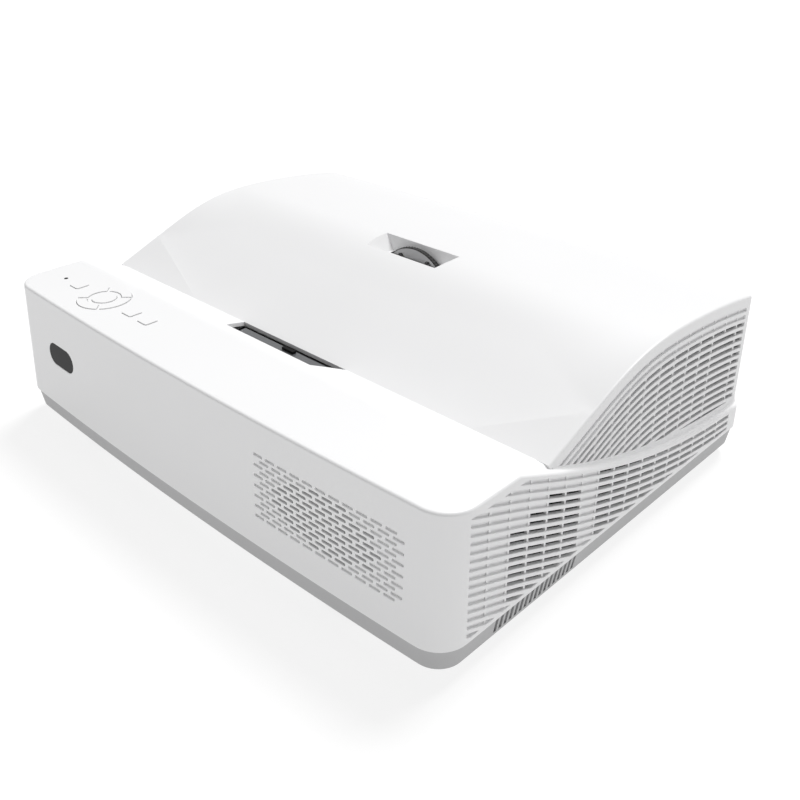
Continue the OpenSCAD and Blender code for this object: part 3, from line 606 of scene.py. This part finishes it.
# ---- lower shell -----------------------------------------------------------

def rounded_rings(outline, top, fillet, base_z, steps=6, foot=0.7):
    """Rings of an upright wall with a rounded foot and a rounded upper edge."""
    rings = []
    for g, rise in ((foot, 0.0), (foot * 0.3, foot * 0.3), (0.0, foot)):
        rings.append([(x, y, base_z + rise) for x, y in outline(g, base_z)])
    for k in range(steps + 1):
        a = math.pi / 2 * k / steps
        g = fillet * (1 - math.cos(a))
        drop = fillet * (1 - math.sin(a))
        rings.append([(x, y, top(x, y) - drop) for x, y in outline(g, LEDGE_Z)])
    for g in (fillet + 1.3, fillet + 3.3):
        rings.append([(x, y, top(x, y)) for x, y in outline(g, LEDGE_Z)])
    return rings


def grid_points(y_values, x_limit, step, facets):
    """Inner points of a surface: rows across, thinned where the facet lines have their own."""
    pts = []
    for y in y_values:
        n = int(2 * x_limit(y) / step)
        for i in range(1, n):
            x = mix(-x_limit(y), x_limit(y), i / n)
            if all(abs(f.signed(x, y)) > 2.2 * f.soft for f in facets):
                pts.append((x, y))
    for f in facets:
        pts += [p for p in f.guide_points() if abs(p[0]) < x_limit(p[1]) - 1]
    return pts


def span(a, b, step):
    n = max(1, int(abs(b - a) / step))
    return [mix(a, b, i / n) for i in range(n + 1)]


def lower_block(name, g, drop, fillet, base_z):
    """The white shell as a solid, inset by g and lowered by drop."""
    lean_per_mm = FRONT_LEAN / (LEDGE_Z - SHELL_Z0)

    def outline(extra, z):
        return full_outline(g + extra, lean_per_mm * (LEDGE_Z - z))

    def top(x, y):
        return ledge_top(x, y) - drop if y < VALLEY_Y + 0.3 else body_top(y) - drop

    rings = rounded_rings(outline, lambda x, y: body_top(y) - drop, fillet, base_z)
    inset = g + fillet + 3.3
    rows = span(FRONT_Y + 14, CREASE_Y - 4, 9) + span(CREASE_Y, VALLEY_Y, 1.6) + [VALLEY_Y + 0.6]
    rows += span(VALLEY_Y + 8, REAR_Y - 14, 9)
    inner = grid_points(rows, lambda y: HALF_W - inset - 0.5, 7, ledge_facets)
    inner = [p for p in inner if p[1] > bow_y(p[0], FRONT_Y + inset + 4, FRONT_BOW)
             and p[1] < bow_y(p[0], REAR_Y - inset - 4, -REAR_BOW)]
    return column(name, rings, inner, top)


def pill_outline(x0, z0, w, h, grow=0.0, n=14):
    r = h / 2 + grow
    c = (w - h) / 2
    pts = []
    for side, start in ((1, -math.pi / 2), (-1, math.pi / 2)):
        for i in range(n + 1):
            a = start + math.pi * i / n
            pts.append((x0 + side * c + r * math.cos(a), z0 + r * math.sin(a)))
    return pts


def front_y_at(x, z):
    """The front wall's surface."""
    lean = FRONT_LEAN * (LEDGE_Z - z) / (LEDGE_Z - SHELL_Z0)
    return bow_y(x, FRONT_Y - lean, FRONT_BOW)


def front_cutter(outline_at, depth, flare=FLARE):
    """Hole through the front wall, its mouth flared; outline_at(grow) gives (x, z) points."""
    loops = []
    for out, grow in ((flare, 2 * flare), (-flare, 0.0), (-depth, 0.0)):
        loops.append([(x, front_y_at(x, z) - out, z) for x, z in outline_at(grow)])
    return stack(loops)


SPEAKER_X = 115.0
SPEAKER_Z = LEDGE_Z - 38.3
SPEAKER_DX = 9.1
SPEAKER_DZ = 3.1
SPEAKER_ROWS = 7
SPEAKER_COLS = 11
SPEAKER_SLOT = (7.1, 1.55)
SPEAKER_OPEN = (36.0, 16.5)              # half axes of the field of slots that go right through


def speaker_slots():
    """(x, z, open) of each loudspeaker slot, in staggered rows."""
    for r in range(2 * SPEAKER_ROWS - 1):
        for c in range(SPEAKER_COLS):
            x = (c - (SPEAKER_COLS - 1) / 2) * SPEAKER_DX + (-1 if r % 2 == 0 else 1) * SPEAKER_DX / 4
            z = (SPEAKER_ROWS - 1 - r) * SPEAKER_DZ
            yield x, z, (x / SPEAKER_OPEN[0]) ** 2 + (z / SPEAKER_OPEN[1]) ** 2 < 1


def slot_outline(x0, z0, w, h, grow, r=0.55, n=4):
    """Rounded rectangle, as (x, z) points."""
    pts = []
    rr = r + grow
    for cx, cz, start in ((w / 2 - r, h / 2 - r, 0), (-w / 2 + r, h / 2 - r, 90),
                          (-w / 2 + r, -h / 2 + r, 180), (w / 2 - r, -h / 2 + r, 270)):
        for i in range(n + 1):
            a = math.radians(start + 90 * i / n)
            pts.append((x0 + cx + rr * math.cos(a), z0 + cz + rr * math.sin(a)))
    return pts


def clip(poly, inside, cross):
    """Keeps the part of a convex polygon where inside(p) is true."""
    out = []
    for i, p in enumerate(poly):
        q = poly[(i + 1) % len(poly)]
        if inside(p):
            out.append(p)
        if inside(p) != inside(q):
            out.append(cross(p, q))
    return out


def clip_below(poly, floor):
    """Keeps what lies above floor(y), which is nearly straight over one slot."""
    def inside(p):
        return p[1] >= floor(p[0])

    def cross(p, q):
        a, b = p[1] - floor(p[0]), q[1] - floor(q[0])
        t = a / (a - b)
        return (mix(p[0], q[0], t), mix(p[1], q[1], t))
    return clip(poly, inside, cross)


def clip_line(poly, axis, limit, sign):
    """Keeps what lies on one side of a line along the other axis."""
    def inside(p):
        return sign * (p[axis] - limit) >= 0

    def cross(p, q):
        t = (limit - p[axis]) / (q[axis] - p[axis])
        return (mix(p[0], q[0], t), mix(p[1], q[1], t))
    return clip(poly, inside, cross)


def tidy_polygon(poly, least=0.15):
    out = []
    for p in poly:
        if not out or math.dist(p, out[-1]) > least:
            out.append(p)
    if len(out) > 1 and math.dist(out[0], out[-1]) <= least:
        out.pop()
    return out


def area_of(poly):
    return 0.5 * sum(p[0] * q[1] - q[0] * p[1] for p, q in zip(poly, poly[1:] + poly[:1]))


def grow_polygon(poly, d):
    """Offsets a counter-clockwise polygon outwards by d."""
    out = []
    n = len(poly)
    for i in range(n):
        a, b, c = poly[i - 1], poly[i], poly[(i + 1) % n]
        n1 = Vector((b[1] - a[1], a[0] - b[0])).normalized()
        n2 = Vector((c[1] - b[1], b[0] - c[0])).normalized()
        m = (n1 + n2)
        m = m / max(0.35, 1 + n1.dot(n2))
        out.append((b[0] + d * m.x, b[1] + d * m.y))
    return out


def side_cutter(poly, side, face_x, depth, flare=FLARE):
    """Slot in a flat side wall, its mouth flared."""
    if area_of(poly) < 0:
        poly = poly[::-1]
    loops = []
    for x, grow in ((face_x + flare, 2 * flare), (face_x - flare, 0.0), (face_x - depth, 0.0)):
        loops.append([(side * x, y, z) for y, z in grow_polygon(poly, grow)])
    return stack(loops)


def rib_y(j):
    return FRONT_Y + 18 + j * RIB_PITCH


def louvre(j, height, steps=4, merge=1):
    """Slot between ribs j and j + merge, its centre line at height(y)."""
    ya = rib_y(j) + RIB_W / 2
    yb = rib_y(j + merge) - RIB_W / 2
    ys = [mix(ya, yb, i / steps) for i in range(steps + 1)]
    return ([(y, height(y) - SLOT_H / 2) for y in ys]
            + [(y, height(y) + SLOT_H / 2) for y in reversed(ys)])


PANEL_ROWS = 19
PANEL_COLS = 17
PANEL_DROP = 4.2                         # from the panel's upper edge to the first row
OPEN_FROM = {2: 6, 3: 4, 4: 2, 5: 2}     # first open row of each front column of louvres


def panel_open(k, j):
    if j >= 7:
        return True
    return j in OPEN_FROM and k >= OPEN_FROM[j]


def trim_panel(poly):
    """Keeps what lies in the louvred field, or nothing where only a scrap is left."""
    poly = clip_line(poly, 0, FRONT_Y + 17, 1)
    poly = clip_line(poly, 1, SHELL_Z0 + 3, 1)
    poly = tidy_polygon(clip_line(poly, 1, LEDGE_Z - 5.2, -1))
    return poly if len(poly) > 2 and abs(area_of(poly)) > 2.5 else None


def panel_cutters(side):
    parts = []
    for k in range(PANEL_ROWS):
        for j in range(PANEL_COLS):
            drop = PANEL_DROP + ROW_PITCH * k
            poly = trim_panel(louvre(j, lambda y: panel_z(y) - drop))
            if poly:
                depth = WALL + 1 if panel_open(k, j) else 1.5
                parts.append(side_cutter(poly, side, HALF_W, depth))
    return parts


def panel_grooves(side):
    """One long shallow groove per row, so that the ribs stand behind the blades."""
    parts = []
    for k in range(PANEL_ROWS):
        drop = PANEL_DROP + ROW_PITCH * k
        poly = trim_panel(louvre(0, lambda y: panel_z(y) - drop, 4 * PANEL_COLS, PANEL_COLS))
        if poly:
            parts.append(side_cutter(poly, side, HALF_W, RIB_SET_BACK))
    return parts


HUMP_ROWS = 14
HUMP_DROP = 8.6                          # from the hump's crown to the first row
HUMP_RIBS = (4, 18)                      # first and last rib
HUMP_GRILLE_END = FRONT_Y + 285.5


def trim_hump(poly):
    """Keeps what lies in the hump's louvred field, or nothing where only a scrap is left."""
    poly = clip_line(poly, 0, HUMP_GRILLE_END, -1)
    poly = clip_line(poly, 0, VALLEY_Y + 8, 1)
    poly = tidy_polygon(clip_below(poly, lambda y: panel_z(y) + 1.2))
    return poly if len(poly) > 2 and abs(area_of(poly)) > 2 else None


def hump_cutters(side):
    parts = []
    for k in range(HUMP_ROWS):
        drop = HUMP_DROP + HUMP_ROW_PITCH * k
        j = HUMP_RIBS[0]
        while j < HUMP_RIBS[1]:
            merge = 2 if (j == 15 and k >= 3) else 1
            poly = trim_hump(louvre(j, lambda y: crown_end(y) - drop, 5, merge))
            j += merge
            if poly:
                depth = SKIN + 1 if k >= 2 else 1.4
                parts.append(side_cutter(poly, side, HUMP_HALF, depth))
    return parts


def hump_grooves(side):
    """The hump's ribs stand behind its blades too."""
    parts = []
    bays = HUMP_RIBS[1] - HUMP_RIBS[0]
    for k in range(HUMP_ROWS):
        drop = HUMP_DROP + HUMP_ROW_PITCH * k
        poly = trim_hump(louvre(HUMP_RIBS[0], lambda y: crown_end(y) - drop, 5 * bays, bays))
        if poly:
            parts.append(side_cutter(poly, side, HUMP_HALF, RIB_SET_BACK))
    return parts


KEY_Y = FRONT_Y + 29.6
# height and clearance of each section of a key's well
KEY_WELL = ((LEDGE_Z + 0.2, 0.75), (LEDGE_Z - 0.2, 0.35), (LEDGE_Z - 8, 0.35))
RING_R = 17.0                            # four-way ring of keys
RING_INNER = 10.8
RING_SLIT = 1.1                          # half the bridge between two quarters of the ring


def quarter_loop(x0, y0, turn, grow, z, n=20):
    """One quarter of the four-way ring, grown by a clearance."""
    pts = []
    for r, way in ((RING_R + grow, 1), (RING_INNER - grow, -1)):
        edge = math.pi / 4 - math.asin((RING_SLIT - grow) / r)
        for i in range(n + 1):
            a = turn + way * mix(-edge, edge, i / n)
            pts.append((x0 + r * math.cos(a), y0 + r * math.sin(a), z))
    return pts


def keypad_cutters():
    """Wells of the keys, 0.35 mm clear of each key all round, with broken edges."""
    parts = []
    for name in ("power_button", "menu_button", "source_button"):
        lo, hi = node_box(name)
        x0 = (lo[0] + hi[0]) / 2
        w, d = hi[0] - lo[0] - 2.4, hi[1] - lo[1] - 2.4
        loops = []
        for z, grow in KEY_WELL:
            loops.append([(x, y, z) for x, y in slot_outline(x0, KEY_Y, w, d, grow, r=1.2, n=6)])
        parts.append(stack(loops))
    lo, hi = node_box("enter_button")
    x0, enter_r = (lo[0] + hi[0]) / 2, (hi[0] - lo[0]) / 2
    parts.append(stack([circle_loop(x0, KEY_Y, enter_r + grow, z, 72) for z, grow in KEY_WELL]))
    for turn in range(4):
        parts.append(stack([quarter_loop(x0, KEY_Y, turn * math.pi / 2, grow, z) for z, grow in KEY_WELL]))
    lo, hi = node_box("status_light_pipe")
    cx, cy = (lo[0] + hi[0]) / 2, (lo[1] + hi[1]) / 2
    parts.append(stack([circle_loop(cx, cy, 1.0 + grow, z, 32) for z, grow in KEY_WELL]))
    return parts


WINDOW_Y0 = FRONT_Y + 63.2
WINDOW_HALF = 46.0
WINDOW_TAPER = 9.5                       # each side comes in by this much towards the front


def window_cutter():
    """Hollow above the projection window: narrower at the front, its sides drafted."""
    loops = []
    for z, grow in ((LEDGE_Z + 4, 2.0), (VALLEY_Z - 8, 0.0)):
        loops.append([(-WINDOW_HALF + WINDOW_TAPER - grow, WINDOW_Y0 - grow * 0.3, z),
                      (WINDOW_HALF - WINDOW_TAPER + grow, WINDOW_Y0 - grow * 0.3, z),
                      (WINDOW_HALF + grow, VALLEY_Y + 1.2, z),
                      (-WINDOW_HALF - grow, VALLEY_Y + 1.2, z)])
    return stack(loops)


def make_lower_shell():
    shell = lower_block("main_shell", 0.0, 0.0, RIM_R, SHELL_Z0)
    cavity = lower_block("cavity", WALL, WALL, 0.6, SHELL_Z0 - 3)
    boolean(shell, cavity)
    # behind the valley the shell is open under the hump
    well_x, well_y = HUMP_HALF - 0.4, VALLEY_Y + 1.2
    rim = [p for p in full_outline(HALF_W - HUMP_HALF + 0.4) if p[1] > well_y]
    loop = [(well_x, well_y)] + [p for p in rim if p[0] >= 0] + [p for p in rim if p[0] < 0]
    loop += [(-well_x, well_y)]
    boolean(shell, column("well", [[(x, y, z) for x, y in loop] for z in (SHELL_Z0 + 4, LEDGE_Z + 20)]))
    cuts = [front_cutter(lambda grow: pill_outline(-134.6, LEDGE_Z - 37.2, 31.3, 15, grow), 5)]
    for x, z, is_open in speaker_slots():
        x0, z0 = SPEAKER_X + x, SPEAKER_Z + z
        cuts.append(front_cutter(lambda grow: slot_outline(x0, z0, *SPEAKER_SLOT, grow),
                                 WALL + 1.5 if is_open else 1.2, 0.2))
    for side in (1, -1):
        cuts += panel_cutters(side)
    cuts += keypad_cutters()
    boolean(shell, join_raw("cuts", cuts))
    boolean(shell, join_raw("grooves", panel_grooves(1) + panel_grooves(-1)))
    boolean(shell, join_raw("window", [window_cutter()]))
    smooth(shell)
    return finish_piece(shell, "chassis", MATERIALS["white_shell"], "white_shell", "main_cover")


# ---- hump ------------------------------------------------------------------

RECESS_Y = FRONT_Y + 186.2
RECESS_W = 64.0
RECESS_DEPTH = 9.0
REAR_GAP_HALF = 168.0                    # half the width of the gap that the rear cover fills


def recess_cutter(g=0.0):
    """Boat-shaped finger recess: the ends slope in, the back wall leans."""
    loops = []
    top = HUMP_Z + 3
    for z, half, y0, y1 in ((top, RECESS_W / 2 + 3.5, RECESS_Y - 12.2, RECESS_Y + 13.4),
                            (HUMP_Z - 0.2, RECESS_W / 2, RECESS_Y - 11.2, RECESS_Y + 11.3),
                            (HUMP_Z - RECESS_DEPTH - g, 23, RECESS_Y - 6, RECESS_Y + 8)):
        loops.append([(x0, y, z) for x0, y in ((-half - g, y0 - g), (half + g, y0 - g),
                                               (half + g, y1 + g), (-half - g, y1 + g))])
    return stack(loops)


def hump_block(name, g, drop, fillet, bottom):
    """The hump as a solid, inset by g and lowered by drop, down to bottom(y)."""
    def top(x, y):
        return hump_top(x, y) - drop

    rings = [[(x, y, bottom(y)) for x, y in hump_outline(g)]]
    steps = 6
    for k in range(steps + 1):
        a = math.pi / 2 * k / steps
        e = fillet * (1 - math.cos(a))
        d = fillet * (1 - math.sin(a))
        rings.append([(x, y, hump_top(x, y) - drop - d) for x, y in hump_outline(g + e)])
    for e in (fillet + 1.5, fillet + 4):
        rings.append([(x, y, top(x, y)) for x, y in hump_outline(g + e)])
    inset = g + fillet + 4
    rows = span(VALLEY_Y + 1.5, VALLEY_Y + 44, 2.4) + span(VALLEY_Y + 46.5, apex[0], 3)
    rows += span(apex[0] + 3, REAR_Y - 9, 3)
    inner = grid_points(rows, lambda y: HUMP_HALF - inset - 0.5, 6.5, hump_facets)
    inner = [p for p in inner if p[1] < bow_y(p[0], REAR_Y - inset - 2, -REAR_BOW) and p[1] > VALLEY_Y + 1]
    return column(name, rings, inner, top, lambda x, y: bottom(y))


def make_hump():
    hump = hump_block("hump_shell", 0.0, 0.0, HUMP_FILLET, lambda y: panel_z(min(y, REAR_Y - 8)) - 4)
    boolean(hump, hump_block("hump_cavity", SKIN, WALL, 0.4, lambda y: 0.0))
    boat = join_raw("boat", [recess_cutter(1.6)])
    limit = hump_block("limit", SKIN - 0.2, 0.5, 0.3, lambda y: 20.0)
    boolean(boat, limit, "INTERSECT")
    boolean(hump, boat, "UNION")
    boolean(hump, join_raw("recess", [recess_cutter()]))
    ring_lo, ring_hi = node_box("focus_ring")
    r = (ring_hi[0] - ring_lo[0]) / 2 + 0.7
    circle = circle_loop(0, RING_AXIS_Z, r, 0, 96)
    slot = stack([[(x, y, z) for x, z, _ in circle] for y in (FRONT_Y + 189, FRONT_Y + 195)])
    boolean(hump, join_raw("ring_slot", [slot]))
    parts = []
    for side in (1, -1):
        parts += hump_cutters(side)
    boolean(hump, join_raw("louvres", parts))
    boolean(hump, join_raw("grooves", hump_grooves(1) + hump_grooves(-1)))
    # the rear cover is a separate moulding between the corners
    y0, y1, z1 = REAR_Y - 12, REAR_Y + 5, tail[1] - 4
    gap = stack([[(x, y, z) for y, z in ((y0, 0), (y1, 0), (y1, z1), (y0, z1))]
                 for x in (-REAR_GAP_HALF, REAR_GAP_HALF)])
    boolean(hump, join_raw("rear_gap", [gap]))
    smooth(hump)
    return finish_piece(hump, "chassis", MATERIALS["white_shell"], "white_shell", "hump_cover")


def make_cove(side, name):
    """Concave band that carries the hump's side out to the upper edge of the lower panel."""
    hump_line = half_outline(0.0, 0, HUMP_HALF, FRONT_R, HUMP_R, 110)
    body_line = half_outline(0.0, 0, HALF_W, FRONT_R, REAR_R, 110)
    loops = []
    for h, b in zip(hump_line, body_line):
        reach = math.dist(h, b)
        if h[1] < VALLEY_Y + 2 or reach < 0.8 or h[0] < HUMP_HALF - 4:
            continue
        unit = ((b[0] - h[0]) / reach, (b[1] - h[1]) / reach)
        along = (h[1] - VALLEY_Y) / (REAR_Y - VALLEY_Y)
        height = mix(1.2, 3.4, smooth_step(along * 1.2)) * min(1, reach / 3.5)
        out = min(reach - 0.8, 2.2) * smooth_step((h[1] - VALLEY_Y) / 14 + 0.15)
        z0 = panel_z(h[1])
        section = [(-1.2, z0 - 2), (-1.2, z0 + height)]
        for i in range(9):
            a = math.pi / 2 * i / 8
            section.append((0.02 + out * (1 - math.cos(a)), z0 + 0.15 + height * (1 - math.sin(a))))
        section.append((out, z0 - 2))
        loops.append([(side * (h[0] + s * unit[0]), h[1] + s * unit[1], z) for s, z in section])
    verts, faces = stack(loops)
    obj = close_up(new_object(name, verts, faces))
    smooth(obj, 40)
    return finish_piece(obj, "chassis", MATERIALS["white_shell"], "white_shell")


REAR_HALF = 167.7
REAR_Z = (35.8, tail[1] - 4.25)
SOCKETS_Z = (36.5, 62)                   # lower and upper edge of the socket panel
REAR_CUT_DEPTH = 8


def make_rear_cover():
    """Bowed rear wall with vents and the opening over the sockets."""
    n = 60
    z0, z1 = REAR_Z
    loops = []
    xs = [mix(-REAR_HALF, REAR_HALF, i / n) for i in range(n + 1)]
    for x in xs:
        y = bow_y(x, REAR_Y, -REAR_BOW)
        loops.append([(x, y, z0 + 0.5), (x, y, z1 - 0.5), (x, y - 0.5, z1), (x, y - WALL, z1),
                      (x, y - WALL, z0), (x, y - 0.5, z0)])
    verts, faces = stack(loops)
    cover = close_up(new_object("rear_shell", verts, faces))
    cuts = []

    def rear_cut(x0, z0, w, h, r):
        made = []
        for back, grow in ((-0.3, 0.6), (0.3, 0.0), (REAR_CUT_DEPTH, 0.0)):
            made.append([(x, bow_y(x, REAR_Y, -REAR_BOW) - back, z)
                         for x, z in slot_outline(x0, z0, w, h, grow, r=r, n=4)])
        return stack(made)

    for i in range(12):
        for k in range(5):
            cuts.append(rear_cut(-156 + 10.5 * i, 46 + 9 * k, 8, 4, 1.2))
    panel_lo, panel_hi = node_box("io_panel")
    x0, x1 = panel_lo[0] + 3, panel_hi[0] - 3
    low, high = SOCKETS_Z
    opening = slot_outline((x0 + x1) / 2, (low + high) / 2, x1 - x0, high - low - 1.4, 0.0, r=2.0, n=4)
    cuts.append(stack([[(x, REAR_Y + back, z) for x, z in opening] for back in (2, -14)]))
    boolean(cover, join_raw("rear_cuts", cuts))
    smooth(cover)
    return finish_piece(cover, "chassis", MATERIALS["white_shell"], "white_shell", "rear_cover")


# ---- base ------------------------------------------------------------------

BASE_Z0 = node_box("base_pan")[0][2]
BASE_TOP = SHELL_Z0 - 0.05
BASE_INSET = (3.5, 1.2)                  # how far the base stands in, at its foot and at its top
CEILING_HOLES = (110, 75)                # half the spacing of the ceiling-mount holes
CEILING_HOLE_R = 2.1
FOOT_HOLE_R = 4.3


def make_base():
    """Open tray under the shell, with upright vent slots and holes for feet and ceiling mount."""
    def level(z):
        t = (z - BASE_Z0) / (BASE_TOP - BASE_Z0)
        return mix(*BASE_INSET, t)

    def ring(g, z):
        return [(x, y, z) for x, y in full_outline(g, FRONT_LEAN)]

    rings = [ring(level(BASE_Z0) + 0.9, BASE_Z0), ring(level(BASE_Z0) + 0.35, BASE_Z0 + 0.1),
             ring(level(BASE_Z0 + 0.4) + 0.1, BASE_Z0 + 0.4), ring(level(BASE_Z0 + 1.0), BASE_Z0 + 1.0)]
    rings += [ring(level(BASE_TOP - 0.3), BASE_TOP - 0.3), ring(level(BASE_TOP) + 0.3, BASE_TOP)]
    base = column("base_tray", rings)
    cavity = column("tray_cavity", [ring(level(BASE_Z0) + WALL, BASE_Z0 + WALL),
                                    ring(level(BASE_TOP + 1) + WALL, BASE_TOP + 1)])
    boolean(base, cavity)
    cuts = []
    for side in (1, -1):
        for i in range(17):
            y0 = FRONT_Y + 43 + 4.1 * i
            z0, z1 = BASE_Z0 + 2.6, BASE_TOP - 0.8
            end = ((y0, z0), (y0 + 2.3, z0), (y0 + 2.3, z1), (y0, z1))
            cuts.append(stack([[(side * x, y, z) for y, z in end] for x in (HALF_W - 10, HALF_W + 2)]))
    hole_z = (BASE_Z0 - 2, BASE_Z0 + 6)
    for name in ("left_foot_screw", "right_foot_screw"):
        lo, hi = node_box(name)
        cx, cy = (lo[0] + hi[0]) / 2, (lo[1] + hi[1]) / 2
        cuts.append(stack([circle_loop(cx, cy, FOOT_HOLE_R, z, 40) for z in hole_z]))
    for sx in (-1, 1):
        for sy in (-1, 1):
            x0, y0 = sx * CEILING_HOLES[0], sy * CEILING_HOLES[1]
            cuts.append(stack([circle_loop(x0, y0, CEILING_HOLE_R, z, 32) for z in hole_z]))
    boolean(base, join_raw("base_cuts", cuts))
    smooth(base)
    return finish_piece(base, "chassis", MATERIALS["grey_base"], "grey_base", "base_pan")


# ---- build -----------------------------------------------------------------

make_camera()
make_stage()
dress_cad_nodes()
make_lower_shell()
make_hump()
make_cove(1, "cove_right")
make_cove(-1, "cove_left")
make_rear_cover()
make_base()
